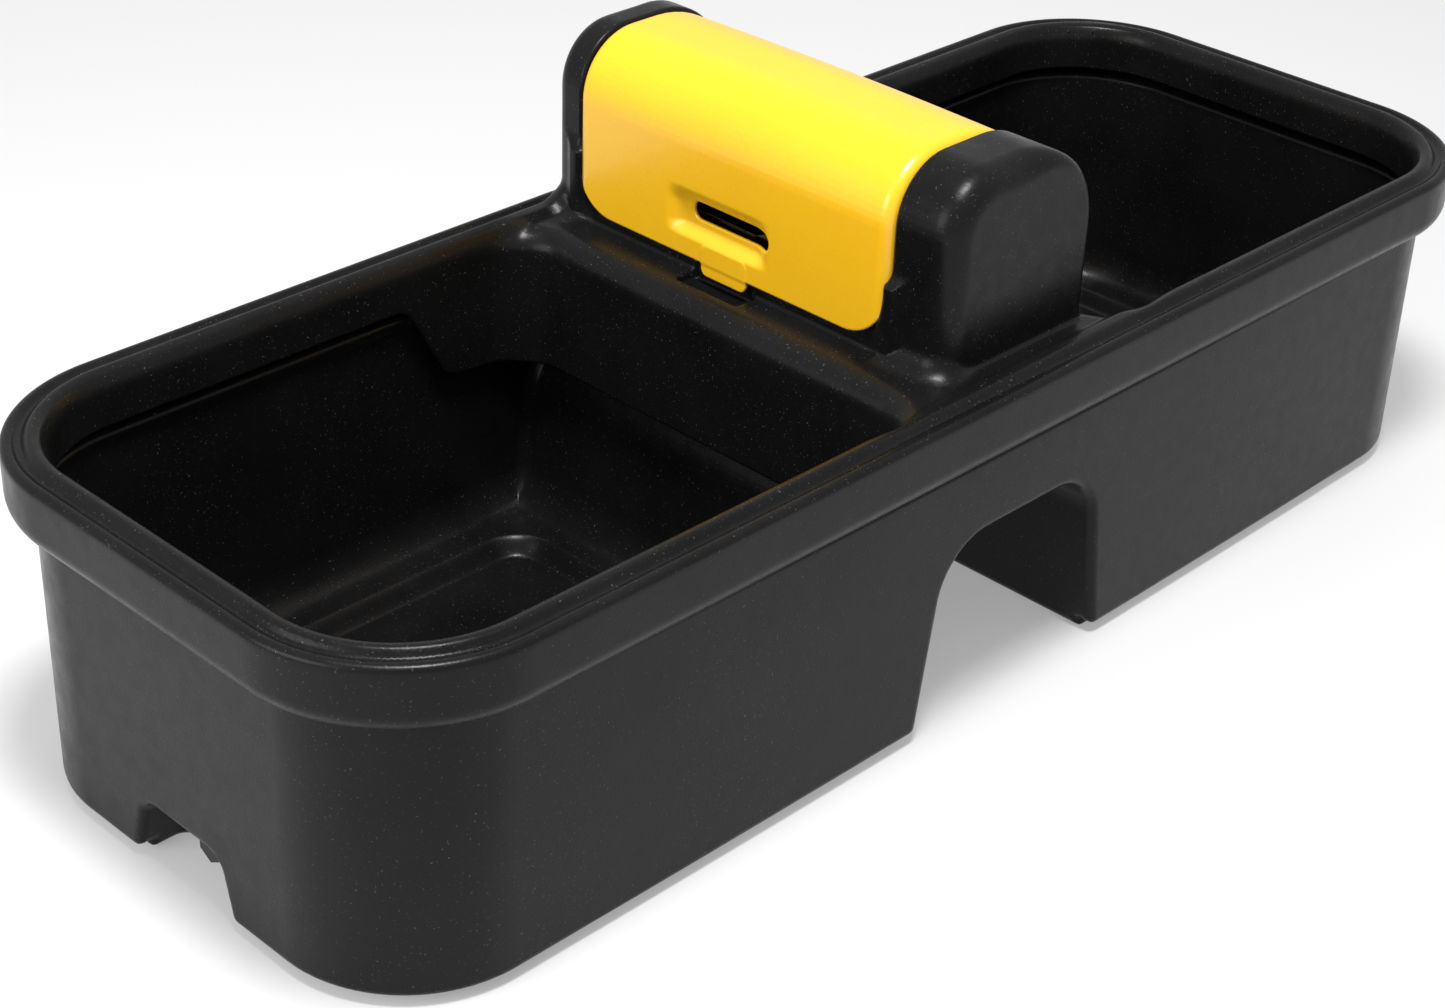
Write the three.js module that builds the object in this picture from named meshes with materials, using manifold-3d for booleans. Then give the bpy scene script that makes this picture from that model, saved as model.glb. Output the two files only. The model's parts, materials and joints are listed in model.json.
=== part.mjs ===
// Double livestock water trough: a rotationally moulded tub with two drinking basins, a float valve
// in the compartment between them, and a hinged cover over the valve.
// Millimetres. X runs along the trough, Y across it and Z up. The origin is the centre of the base.

import * as THREE from "three";
import { mergeVertices } from "three/addons/utils/BufferGeometryUtils.js";
import Module from "manifold-3d";

const wasm = await Module();
wasm.setup();

// ---- Driving dimensions ----

const HALF_LENGTH = 700;
const HALF_WIDTH = 267.5;
const WALL = 6;
const RIM_TOP = 315;
const RIM_SHOULDER = 308;
const RIM_CORNER = 140;
const RIM_ROLL = 22;
const SHOULDER_ROLL = 10;
const CREASE = 252;
const BODY_CORNER = 112;
const BOW = 4;
const FOOT_INSET = 36;
const FOOT_HEIGHT = 9;

const DIVIDER = 124;
const BASIN_INSET = 36;
const BASIN_END_CORNER = 106;
const BASIN_INNER_CORNER = 42;
const LIP_EDGE = 268;
const LIP_LOW = 184;
const CURTAIN_EDGE = 180;

const FLOOR_BAND = 24;
const FLOOR_PANEL = 8;
const PANEL_STEP = 16;
const BAND_INSET = 64;
const BAND_INNER = 155;

const TUNNEL_TOP = 178;
const TUNNEL_FOOT = 119;
const TUNNEL_SHOULDER = 101;
const TUNNEL_CORNER = 55;

const RECESS_DEPTH = 68;
const RECESS_HEIGHT = 62;
const RECESS_HALF = 60;
const RECESS_TOP_HALF = 47;
const RECESS_CORNER = 16;

const HOUSING = { front: -74, rear: 105, crest: 477.5, frontCrown: 54, rearCrown: 81 };
const NEAR_TOWER_OUTER = -212;
const NEAR_TOWER_INNER = -150;
const FAR_TOWER_INNER = 213;
const FAR_TOWER_OUTER = 247;
const TOWER_FILLET = 22;
const HOUSING_BASE = 297;
const PLINTH_TOP = 318;
const PLINTH_REAR = 88;
const OPENING = { lowX: -58, highX: 82, lowY: -132, highY: 196, corner: 16 };
const POCKET = { lowX: -97, lowY: -4, highY: 68, floor: 300 };

const COVER = { front: -79, rear: 111, crest: 479, frontCrown: 59, rearCrown: 102 };
const COVER_WALL = 4;
const COVER_DOME = 2.5;
const COVER_END_GAP = 0.6;
const COVER_BOTTOM = 320;
const COVER_REAR_BOTTOM = 325;
const TAB_LOW_Y = 4;
const TAB_HIGH_Y = 57;
const TAB_BOTTOM = 309;
const SLOT_LOW_Y = -20;
const SLOT_HIGH_Y = 73;
const SLOT_LOW_Z = 355;
const SLOT_HIGH_Z = 372;

const HINGE = { x: 100, z: 332 };
const HINGE_PIN_RADIUS = 4;
const HINGE_LUG_RADIUS = 9;
const PIN_PRESSED_IN = 5;
const PIN_REACH = 12;

const INLET = { x: 0, y: 150 };
const PIPE_RADIUS = 10.4;
const PIPE_BORE = 7;
const PIPE_BOTTOM = 128;
const SOCKET_BOTTOM = 262;
const NUT_RADIUS = 18;
const NUT_HEIGHT = 8;
const SEAL = 2.5;
const VALVE_Z = 300;
const VALVE_RADIUS = 15;
const CHAMBER_RADIUS = 11;
const SEAT_RADIUS = 9;
const NOZZLE_RADIUS = 5;
const NOZZLE_BORE = 2.5;
const WATERWAY_RADIUS = 6;
const SPOUT_RADIUS = 6;
const SPOUT_BORE = 3.5;
const SPOUT_DROP = 42;
const WASHER = 3;
const OPEN_LIFT = 4.2;
const PIVOT = { y: 78, z: 284.7 };
const PIVOT_RADIUS = 2.5;
const EAR_INNER = 4.4;
const EAR_OUTER = 11;
const EAR_HALF = 7;
const SPLIT_PIN_RADIUS = 0.7;
const FLOAT = { y: -110, z: 218 };
const FLOAT_RADIUS = 52;
const FLOAT_HEIGHT = 56;
const FLOAT_ROLL = 16;
const FLOAT_NECK = 6;
const FLOAT_NUT_RADIUS = 9;
const ARM_RADIUS = 4;
const LEVER_DROP = 15;
const LEVER_EYE = 6;
const LEVER_HALF = 4;

const DRAIN_Z = 32;
const DRAIN_RADIUS = 16;
const PLUG_FLANGE = 24;
const PLUG_HEAD = 15;
const GAP = 0.3;
const ROUND = 24;
const SMALL_ROUND = 16;

// ---- Materials ----

function finish(color, roughness, metalness) {
  return new THREE.MeshStandardMaterial({ color, roughness, metalness });
}

const blackPlastic = finish(0x17181a, 0.5, 0);
const yellowPlastic = finish(0xf5a90c, 0.35, 0);
const brass = finish(0xb08d3c, 0.35, 1);
const stainless = finish(0xb9bcc0, 0.3, 1);
const whiteNylon = finish(0xe8e6df, 0.5, 0);
const blackRubber = finish(0x202020, 0.8, 0);
const orangePlastic = finish(0xd8541a, 0.45, 0);

// ---- Solids ----

function solidOf(geometry) {
  const plain = geometry.clone();
  plain.deleteAttribute("normal");
  plain.deleteAttribute("uv");
  const merged = mergeVertices(plain, 1e-4);
  return new wasm.Manifold(new wasm.Mesh({
    numProp: 3,
    vertProperties: new Float32Array(merged.attributes.position.array),
    triVerts: new Uint32Array(merged.index.array),
  }));
}

function geometryOf(solid) {
  const mesh = solid.getMesh();
  const geometry = new THREE.BufferGeometry();
  geometry.setAttribute("position", new THREE.BufferAttribute(mesh.vertProperties, 3));
  geometry.setIndex(new THREE.BufferAttribute(mesh.triVerts, 1));
  geometry.computeVertexNormals();
  return geometry;
}

function signedVolume(points, triangles) {
  let volume = 0;
  for (let i = 0; i < triangles.length; i += 3) {
    const [a, b, c] = [points[triangles[i]], points[triangles[i + 1]], points[triangles[i + 2]]];
    volume += a.dot(b.clone().cross(c));
  }
  return volume;
}

// A closed solid through flat rings of equal point count, stacked along one axis.
function loft(rings, axis) {
  const count = rings[0].length;
  const points = rings.flat();
  const triangles = [];
  for (let ring = 0; ring + 1 < rings.length; ring += 1) {
    for (let i = 0; i < count; i += 1) {
      const a = ring * count + i;
      const b = ring * count + ((i + 1) % count);
      triangles.push(a, b, b + count, a, b + count, a + count);
    }
  }
  const [u, v] = ["x", "y", "z"].filter((name) => name !== axis);
  const last = (rings.length - 1) * count;
  const outline = (ring) => ring.map((point) => new THREE.Vector2(point[u], point[v]));
  const areaSign = Math.sign(THREE.ShapeUtils.area(outline(rings[0])));
  for (const [start, flip] of [[0, true], [last, false]]) {
    const flat = outline(rings[start / count]);
    for (const [a, b, c] of THREE.ShapeUtils.triangulateShape(flat, [])) {
      const face = [start + a, start + b, start + c];
      const turned = THREE.ShapeUtils.area([flat[a], flat[b], flat[c]]) * areaSign < 0;
      triangles.push(...(turned === flip ? face : face.reverse()));
    }
  }
  const geometry = new THREE.BufferGeometry().setFromPoints(points);
  geometry.setIndex(signedVolume(points, triangles) < 0 ? triangles.reverse() : triangles);
  return solidOf(geometry);
}

// A rounded rectangle at height z. Corners run anticlockwise from (high x, low y).
function planRing(lowX, highX, lowY, highY, radii, z, bow = 0) {
  const corners = [
    [highX, lowY, 1, -1, -90],
    [highX, highY, 1, 1, 0],
    [lowX, highY, -1, 1, 90],
    [lowX, lowY, -1, -1, 180],
  ];
  const ring = [];
  const middle = (lowX + highX) / 2;
  corners.forEach(([x, y, sideX, sideY, from], index) => {
    const radius = radii[index];
    for (let step = 0; step <= 6; step += 1) {
      const angle = THREE.MathUtils.degToRad(from + 15 * step);
      ring.push(new THREE.Vector3(
        x + radius * (Math.cos(angle) - sideX),
        y + radius * (Math.sin(angle) - sideY),
        z,
      ));
    }
    if (index % 2 === 1) {
      for (const share of [0.5, 0, -0.5]) {
        const across = middle + (highX - lowX) * 0.5 * share * sideX;
        ring.push(new THREE.Vector3(across, y + bow * sideY * (1 - share * share), z));
      }
    }
  });
  return ring;
}

function tubRing([z, inset, corner, bow = 0]) {
  const x = HALF_LENGTH - inset;
  const y = HALF_WIDTH - inset;
  return planRing(-x, x, -y, y, Array(4).fill(corner), z, bow);
}

function box(lowX, highX, lowY, highY, lowZ, highZ) {
  const geometry = new THREE.BoxGeometry(highX - lowX, highY - lowY, highZ - lowZ);
  geometry.translate((lowX + highX) / 2, (lowY + highY) / 2, (lowZ + highZ) / 2);
  return solidOf(geometry);
}

// A round or many-sided bar along one axis, from low to high, through (first, second) across it.
function bar(axis, radius, low, high, first, second, sides = ROUND) {
  const geometry = new THREE.CylinderGeometry(radius, radius, high - low, sides);
  if (axis === "x") {
    geometry.rotateZ(-Math.PI / 2);
    geometry.translate((low + high) / 2, first, second);
  } else if (axis === "y") {
    geometry.translate(first, (low + high) / 2, second);
  } else {
    geometry.rotateX(Math.PI / 2);
    geometry.translate(first, second, (low + high) / 2);
  }
  return solidOf(geometry);
}

function ringSolid(axis, inner, outer, low, high, first, second, sides = ROUND) {
  const cutter = bar(axis, inner, low - 1, high + 1, first, second);
  return bar(axis, outer, low, high, first, second, sides).subtract(cutter);
}

function join(...solids) {
  return solids.reduce((whole, piece) => whole.add(piece));
}

function cut(solid, ...tools) {
  return tools.reduce((whole, tool) => whole.subtract(tool), solid);
}

// Moves each point of a closed outline inward by the distance, along its mean edge normal.
function insetOutline(outline, distance) {
  const count = outline.length;
  const turn = Math.sign(THREE.ShapeUtils.area(outline));
  return outline.map((point, i) => {
    const before = point.clone().sub(outline[(i + count - 1) % count]).normalize();
    const after = outline[(i + 1) % count].clone().sub(point).normalize();
    const normal = new THREE.Vector2(-before.y - after.y, before.x + after.x).multiplyScalar(turn);
    const scale = distance / Math.max(normal.lengthSq() / 2, 0.5);
    return point.clone().addScaledVector(normal, scale);
  });
}

function alongY(outline, y) {
  return outline.map((p) => new THREE.Vector3(p.x, y, p.y));
}

function alongX(outline, x) {
  return outline.map((p) => new THREE.Vector3(x, p.x, p.y));
}

// ---- Tub ----

function tubOuter() {
  const rings = [
    [0, FOOT_INSET + 1, 98],
    [FOOT_HEIGHT, FOOT_INSET, 98],
    [FOOT_HEIGHT + 1, 31, BODY_CORNER - 10, BOW],
    [14, 25, BODY_CORNER - 4, BOW],
    [20, 22, BODY_CORNER, BOW],
    [CREASE - 2, RIM_ROLL - 1, BODY_CORNER + 6, BOW],
  ];
  for (let step = 0; step <= 4; step += 1) {
    const angle = (step / 4) * (Math.PI / 2);
    const inset = RIM_ROLL * (1 - Math.sin(angle));
    rings.push([CREASE + RIM_ROLL * (1 - Math.cos(angle)), inset, RIM_CORNER - inset]);
  }
  for (let step = 0; step <= 3; step += 1) {
    const angle = (step / 3) * (Math.PI / 2);
    const inset = SHOULDER_ROLL * (1 - Math.cos(angle));
    rings.push([RIM_SHOULDER - SHOULDER_ROLL * (1 - Math.sin(angle)), inset, RIM_CORNER - inset]);
  }
  rings.push([RIM_SHOULDER - 0.5, 15, RIM_CORNER - 15]);
  rings.push([RIM_SHOULDER + 3, 19, RIM_CORNER - 19]);
  rings.push([RIM_TOP, 27, RIM_CORNER - 27]);
  return loft(rings.map(tubRing), "z");
}

function tubCavity() {
  const rings = [
    [FLOOR_BAND, 54, 84],
    [FLOOR_BAND + 3, 43, 92],
    [FLOOR_BAND + 10, 33, 100],
    [FLOOR_BAND + 24, 28, 106, BOW],
    [CREASE - 2, 28, 110, BOW],
    [CREASE + 8, 18, 122],
    [CREASE + 20, WALL + 1, 132],
    [RIM_SHOULDER - 10, WALL, 134],
    [RIM_SHOULDER - 5, WALL + 4, 130],
    [RIM_SHOULDER - 4, 17, 123],
    [RIM_TOP - WALL, 27, 113],
  ];
  return loft(rings.map(tubRing), "z");
}

// The lower panel of one basin's floor, stepped down inside the raised band.
function floorWell(side) {
  const ring = (step, z) => {
    const inner = side * (BAND_INNER + step);
    const outer = side * (HALF_LENGTH - BAND_INSET - step);
    const y = HALF_WIDTH - BAND_INSET - step;
    return planRing(Math.min(inner, outer), Math.max(inner, outer), -y, y, Array(4).fill(35), z);
  };
  return loft([ring(PANEL_STEP, FLOOR_PANEL), ring(0, FLOOR_BAND), ring(0, FLOOR_BAND + 2)], "z");
}

// One basin's mouth, grown outward by an allowance, from below the lip to above the rim.
function basinMouth(side, grow, flare) {
  const ring = (extra, z) => {
    const inner = side * (DIVIDER - grow - extra);
    const outer = side * (HALF_LENGTH - BASIN_INSET + grow + extra);
    const y = HALF_WIDTH - BASIN_INSET + grow + extra;
    const atEnd = BASIN_END_CORNER + grow + extra;
    const atDivider = BASIN_INNER_CORNER + grow + extra;
    const radii = side > 0
      ? [atEnd, atEnd, atDivider, atDivider]
      : [atDivider, atDivider, atEnd, atEnd];
    return planRing(Math.min(inner, outer), Math.max(inner, outer), -y, y, radii, z);
  };
  const low = CURTAIN_EDGE - 20;
  const rings = flare
    ? [ring(0, low), ring(0, RIM_TOP - 10), ring(2.5, RIM_TOP - 3.5), ring(8, RIM_TOP), ring(8, RIM_TOP + 9)]
    : [ring(0, low), ring(0, RIM_TOP + 5)];
  return loft(rings, "z");
}

// The space above the moulding's trimmed edge: high round the basin, low at the divider.
function aboveTrim(side) {
  const outline = new THREE.Shape();
  outline.moveTo(HALF_LENGTH - 2, RIM_TOP + 20);
  outline.lineTo(HALF_LENGTH - 2, LIP_EDGE);
  outline.lineTo(290, LIP_EDGE);
  outline.bezierCurveTo(262, LIP_EDGE, 262, 252, 250, 234);
  outline.bezierCurveTo(236, 212, 232, LIP_LOW + 3, 206, LIP_LOW + 2);
  outline.quadraticCurveTo(DIVIDER + 40, LIP_LOW, DIVIDER - WALL - 2, CURTAIN_EDGE);
  outline.lineTo(DIVIDER - WALL - 2, RIM_TOP + 20);
  const points = outline.getPoints(6).map((p) => new THREE.Vector2(side * p.x, p.y));
  return loft([alongY(points, -HALF_WIDTH), alongY(points, HALF_WIDTH)], "y");
}

function tunnel(grow) {
  const outline = new THREE.Shape();
  const corner = TUNNEL_CORNER + grow;
  const top = TUNNEL_TOP + grow;
  const foot = TUNNEL_FOOT + grow;
  const shoulder = TUNNEL_SHOULDER + grow;
  outline.moveTo(foot + 1.5, -10);
  outline.lineTo(shoulder, top - corner);
  outline.absarc(shoulder - corner, top - corner, corner, 0, Math.PI / 2);
  outline.absarc(corner - shoulder, top - corner, corner, Math.PI / 2, Math.PI);
  outline.lineTo(-foot - 1.5, -10);
  const points = outline.getPoints(6);
  const reach = HALF_WIDTH + 10;
  return loft([alongY(points, -reach), alongY(points, reach)], "y");
}

// The notch in the bottom edge of one end wall, where the drain plug sits.
function endRecess(side, grow) {
  const outline = new THREE.Shape();
  const half = RECESS_HALF + grow;
  const topHalf = RECESS_TOP_HALF + grow;
  const top = RECESS_HEIGHT + grow;
  const corner = RECESS_CORNER + grow;
  outline.moveTo(half, -10);
  outline.lineTo(topHalf, top - corner);
  outline.quadraticCurveTo(topHalf, top, topHalf - corner, top);
  outline.lineTo(corner - topHalf, top);
  outline.quadraticCurveTo(-topHalf, top, -topHalf, top - corner);
  outline.lineTo(-half, -10);
  const points = outline.getPoints(5);
  const back = side * (HALF_LENGTH - RECESS_DEPTH - grow);
  return loft([alongX(points, back), alongX(points, side * (HALF_LENGTH + 10))], "x");
}

// ---- Valve housing ----

// An outline across X and Z: flat front and rear, meeting in a round crest.
function crownOutline({ front, rear, crest, frontCrown, rearCrown }, bottom) {
  const outline = new THREE.Shape();
  outline.moveTo(rear, bottom);
  outline.lineTo(rear, crest - rearCrown);
  outline.absarc(rear - rearCrown, crest - rearCrown, rearCrown, 0, Math.PI / 2);
  outline.absarc(front + frontCrown, crest - frontCrown, frontCrown, Math.PI / 2, Math.PI);
  outline.lineTo(front, bottom);
  return outline.getPoints(7);
}

// One end tower of the housing with its outer edge rounded, or its hollow when a skin is given.
function tower(inner, outer, skin = 0) {
  const outward = Math.sign(outer - inner);
  const base = crownOutline(HOUSING, skin ? HOUSING_BASE + 5 : HOUSING_BASE);
  const fillet = Math.min(TOWER_FILLET, Math.abs(outer - inner) * 0.8);
  const rings = [alongY(insetOutline(base, skin), inner + outward * skin)];
  for (let step = 0; step <= 4; step += 1) {
    const angle = (step / 4) * (Math.PI / 2);
    const inset = skin + fillet * 0.45 * (1 - Math.cos(angle));
    const y = outer - outward * (skin + fillet * (1 - Math.sin(angle)));
    rings.push(alongY(insetOutline(base, inset), y));
  }
  return loft(rings, "y");
}

// The pocket in the deck in front of the cover's tab, or its outside when a skin is given.
function tabPocket(skin = 0) {
  return box(
    POCKET.lowX - skin, HOUSING.front + (skin && 8),
    POCKET.lowY - skin, POCKET.highY + skin,
    POCKET.floor - skin, RIM_TOP + 20,
  );
}

function troughBody() {
  const plinth = box(
    HOUSING.front, PLINTH_REAR,
    NEAR_TOWER_INNER - 1, FAR_TOWER_INNER + 1,
    RIM_SHOULDER - 8, PLINTH_TOP,
  );
  const outer = cut(
    join(
      tubOuter(),
      tower(NEAR_TOWER_INNER, NEAR_TOWER_OUTER),
      tower(FAR_TOWER_INNER, FAR_TOWER_OUTER),
      plinth,
    ),
    tunnel(0),
    endRecess(-1, 0),
    endRecess(1, 0),
    tabPocket(),
  );
  const hollow = cut(
    join(
      tubCavity(),
      floorWell(-1),
      floorWell(1),
      tower(NEAR_TOWER_INNER, NEAR_TOWER_OUTER, WALL),
      tower(FAR_TOWER_INNER, FAR_TOWER_OUTER, WALL),
    ),
    tunnel(WALL),
    endRecess(-1, WALL),
    endRecess(1, WALL),
    tabPocket(WALL),
    basinMouth(-1, WALL, false).intersect(aboveTrim(-1)),
    basinMouth(1, WALL, false).intersect(aboveTrim(1)),
  );
  const { lowX, highX, lowY, highY, corner } = OPENING;
  const openingRing = (z) => planRing(lowX, highX, lowY, highY, Array(4).fill(corner), z);
  const valveOpening = loft([openingRing(HOUSING_BASE - 7), openingRing(PLINTH_TOP + 10)], "z");
  const drainEnd = HALF_LENGTH - RECESS_DEPTH;
  return cut(
    outer,
    hollow,
    basinMouth(-1, 0, true),
    basinMouth(1, 0, true),
    valveOpening,
    bar("x", DRAIN_RADIUS, -drainEnd - 5, -drainEnd + 16, 0, DRAIN_Z),
    bar("x", DRAIN_RADIUS, drainEnd - 16, drainEnd + 5, 0, DRAIN_Z),
    bar("z", PIPE_RADIUS + GAP, TUNNEL_TOP - 5, TUNNEL_TOP + WALL + 5, INLET.x, INLET.y),
    bar("y", HINGE_PIN_RADIUS + GAP, NEAR_TOWER_INNER - 10, NEAR_TOWER_INNER + 5, HINGE.x, HINGE.z, 16),
    bar("y", HINGE_PIN_RADIUS + GAP, FAR_TOWER_INNER - 5, FAR_TOWER_INNER + 10, HINGE.x, HINGE.z, 16),
  );
}

// ---- Cover ----

const coverLow = NEAR_TOWER_INNER + COVER_END_GAP;
const coverHigh = FAR_TOWER_INNER - COVER_END_GAP;
const DOME_LOW = 400;
const DOME_BLEND = 60;

function coverSection(y, endInset) {
  const middle = (coverLow + coverHigh) / 2;
  const reach = (y - middle) / ((coverHigh - coverLow) / 2);
  const lift = COVER_DOME * (1 - reach * reach);
  const base = crownOutline(COVER, COVER_BOTTOM);
  const outer = insetOutline(base, endInset);
  const inner = insetOutline(base, COVER_WALL + endInset * 0.3);
  for (const outline of [outer, inner]) {
    outline[0].y = COVER_REAR_BOTTOM;
    outline[outline.length - 1].y = COVER_BOTTOM;
  }
  return alongY([...outer, ...inner.reverse()], y).map((point) => {
    const share = THREE.MathUtils.clamp((point.z - DOME_LOW) / DOME_BLEND, 0, 1);
    point.z += lift * share;
    return point;
  });
}

function valveCover() {
  const sections = [[coverLow, 3], [coverLow + 3, 1], [coverLow + 10, 0]];
  for (const share of [0.25, 0.5, 0.75]) {
    sections.push([coverLow + (coverHigh - coverLow) * share, 0]);
  }
  sections.push([coverHigh - 10, 0], [coverHigh - 3, 1], [coverHigh, 3]);
  const shell = loft(sections.map(([y, inset]) => coverSection(y, inset)), "y");
  const { front, rear } = COVER;
  const slot = loft([front - 10, front + 20].map((x) => fingerSlot(x)), "x");
  const lug = (low, high) => join(
    bar("y", HINGE_LUG_RADIUS, low, high, HINGE.x, HINGE.z),
    box(HINGE.x, rear - 1, low, high, HINGE.z - 7, HINGE.z + HINGE_LUG_RADIUS),
  );
  const withLugs = join(shell, lug(coverLow + 2, coverLow + 9), lug(coverHigh - 9, coverHigh - 2));
  const tab = box(front - 3, front + 2, TAB_LOW_Y, TAB_HIGH_Y, TAB_BOTTOM, COVER_BOTTOM + 22);
  return cut(
    join(withLugs, tab),
    slot,
    bar("y", HINGE_PIN_RADIUS + GAP, coverLow - 5, coverLow + 20, HINGE.x, HINGE.z, 16),
    bar("y", HINGE_PIN_RADIUS + GAP, coverHigh - 20, coverHigh + 5, HINGE.x, HINGE.z, 16),
  );
}

function fingerSlot(x) {
  const radius = (SLOT_HIGH_Z - SLOT_LOW_Z) / 2;
  const outline = new THREE.Shape();
  outline.absarc(SLOT_HIGH_Y - radius, SLOT_LOW_Z + radius, radius, -Math.PI / 2, Math.PI / 2);
  outline.absarc(SLOT_LOW_Y + radius, SLOT_LOW_Z + radius, radius, Math.PI / 2, Math.PI * 1.5);
  return alongX(outline.getPoints(6), x);
}

// A pin pressed into a tower's inner wall, with a flat head inside the cover's lug.
function hingePin(wallY, inward) {
  const span = (radius, from, to) => {
    const ends = [wallY + inward * from, wallY + inward * to].sort((a, b) => a - b);
    return bar("y", radius, ends[0], ends[1], HINGE.x, HINGE.z, SMALL_ROUND);
  };
  return join(
    span(HINGE_PIN_RADIUS, -PIN_PRESSED_IN, PIN_REACH),
    span(HINGE_PIN_RADIUS + 2.5, PIN_REACH - 1.8, PIN_REACH + 1),
  );
}

// ---- Inlet ----

const roofTop = TUNNEL_TOP + WALL;
const pipeTop = SOCKET_BOTTOM + 18;

function inletPipe() {
  const tube = bar("z", PIPE_RADIUS, PIPE_BOTTOM, pipeTop, INLET.x, INLET.y);
  return cut(tube, bar("z", PIPE_BORE, PIPE_BOTTOM - 1, pipeTop + 1, INLET.x, INLET.y));
}

function inletRing(low, high, sides = ROUND) {
  return ringSolid("z", PIPE_RADIUS + GAP, NUT_RADIUS, low, high, INLET.x, INLET.y, sides);
}

// ---- Float valve ----

const seatLow = PIVOT.y + 40;
const seatHigh = seatLow + 14;
const nozzleLow = seatLow - 4;
const valveEnd = PIVOT.y - 22;
const spoutY = seatLow - 8;
const washerHigh = nozzleLow - OPEN_LIFT;

function valveBar(radius, low, high, sides = ROUND) {
  return bar("y", radius, low, high, INLET.x, VALVE_Z, sides);
}

function pivotBar(radius, low, high) {
  return bar("x", radius, low, high, PIVOT.y, PIVOT.z, SMALL_ROUND);
}

// One of the two ears that hang under the body and carry the pivot pin.
function ear(lowX, highX) {
  return box(lowX, highX, PIVOT.y - EAR_HALF, PIVOT.y + EAR_HALF, PIVOT.z - EAR_HALF, VALVE_Z - 8);
}

function valveBody() {
  const shell = join(
    valveBar(VALVE_RADIUS, valveEnd, INLET.y + 14),
    bar("z", VALVE_RADIUS, SOCKET_BOTTOM, VALVE_Z, INLET.x, INLET.y),
    bar("z", VALVE_RADIUS + 3, SOCKET_BOTTOM + 6, SOCKET_BOTTOM + 20, INLET.x, INLET.y, 6),
    valveBar(VALVE_RADIUS + 2.5, seatLow - 6, seatHigh + 4, 6),
    ear(-EAR_OUTER, -EAR_INNER),
    ear(EAR_INNER, EAR_OUTER),
    bar("z", SPOUT_RADIUS, VALVE_Z - SPOUT_DROP, VALVE_Z - 8, INLET.x, spoutY, SMALL_ROUND),
  );
  return cut(
    shell,
    valveBar(CHAMBER_RADIUS, valveEnd - 1, seatLow + 2),
    valveBar(SEAT_RADIUS, seatLow, seatHigh + GAP),
    valveBar(WATERWAY_RADIUS, seatHigh - 1, INLET.y),
    bar("z", PIPE_RADIUS + GAP, SOCKET_BOTTOM - 1, pipeTop + GAP, INLET.x, INLET.y),
    bar("z", WATERWAY_RADIUS, pipeTop - 1, VALVE_Z, INLET.x, INLET.y),
    bar("z", SPOUT_BORE, VALVE_Z - SPOUT_DROP - 1, VALVE_Z - 6, INLET.x, spoutY, SMALL_ROUND),
    box(-EAR_INNER, EAR_INNER, PIVOT.y - 10, PIVOT.y + 10, PIVOT.z - 9, VALVE_Z - 2),
    pivotBar(PIVOT_RADIUS + GAP, -EAR_OUTER - 2, EAR_OUTER + 2),
  );
}

function valveSeat() {
  return cut(
    join(
      valveBar(SEAT_RADIUS - GAP, seatLow + 2 + GAP, seatHigh),
      valveBar(NOZZLE_RADIUS, nozzleLow, seatLow + 4),
    ),
    valveBar(NOZZLE_BORE, nozzleLow - 1, seatHigh + 1, SMALL_ROUND),
  );
}

function piston() {
  const rod = valveBar(CHAMBER_RADIUS - 0.4, valveEnd + 8, washerHigh - WASHER - GAP);
  return cut(rod, box(-4, 4, PIVOT.y - 7.5, PIVOT.y + 7.5, VALVE_Z - 12, VALVE_Z + 6));
}

function pistonWasher() {
  return valveBar(CHAMBER_RADIUS - 1, washerHigh - WASHER, washerHigh);
}

function endCap() {
  const cap = join(
    valveBar(VALVE_RADIUS + 3, valveEnd - 4, valveEnd + 10, 12),
    valveBar(8, valveEnd - 6, valveEnd - 3, 6),
  );
  return cut(cap, valveBar(VALVE_RADIUS + GAP, valveEnd - GAP, valveEnd + 11));
}

const headEnd = -EAR_OUTER - 3.5;
const splitPinX = EAR_OUTER + 3;

function pivotPin() {
  return cut(
    join(
      pivotBar(PIVOT_RADIUS, headEnd, splitPinX + 3),
      pivotBar(PIVOT_RADIUS + 2, headEnd, -EAR_OUTER - GAP),
    ),
    bar("z", SPLIT_PIN_RADIUS + GAP, PIVOT.z - 5, PIVOT.z + 5, splitPinX, PIVOT.y, 12),
  );
}

function splitPin() {
  return join(
    bar("z", SPLIT_PIN_RADIUS, PIVOT.z - 7, PIVOT.z + 5, splitPinX, PIVOT.y, 8),
    bar("z", SPLIT_PIN_RADIUS + 1.1, PIVOT.z + 4, PIVOT.z + 6.5, splitPinX, PIVOT.y, 12),
  );
}

const floatTop = FLOAT.z + FLOAT_HEIGHT / 2;
const nutLow = floatTop + FLOAT_NECK + GAP;
const nutHigh = nutLow + 6;

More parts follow.
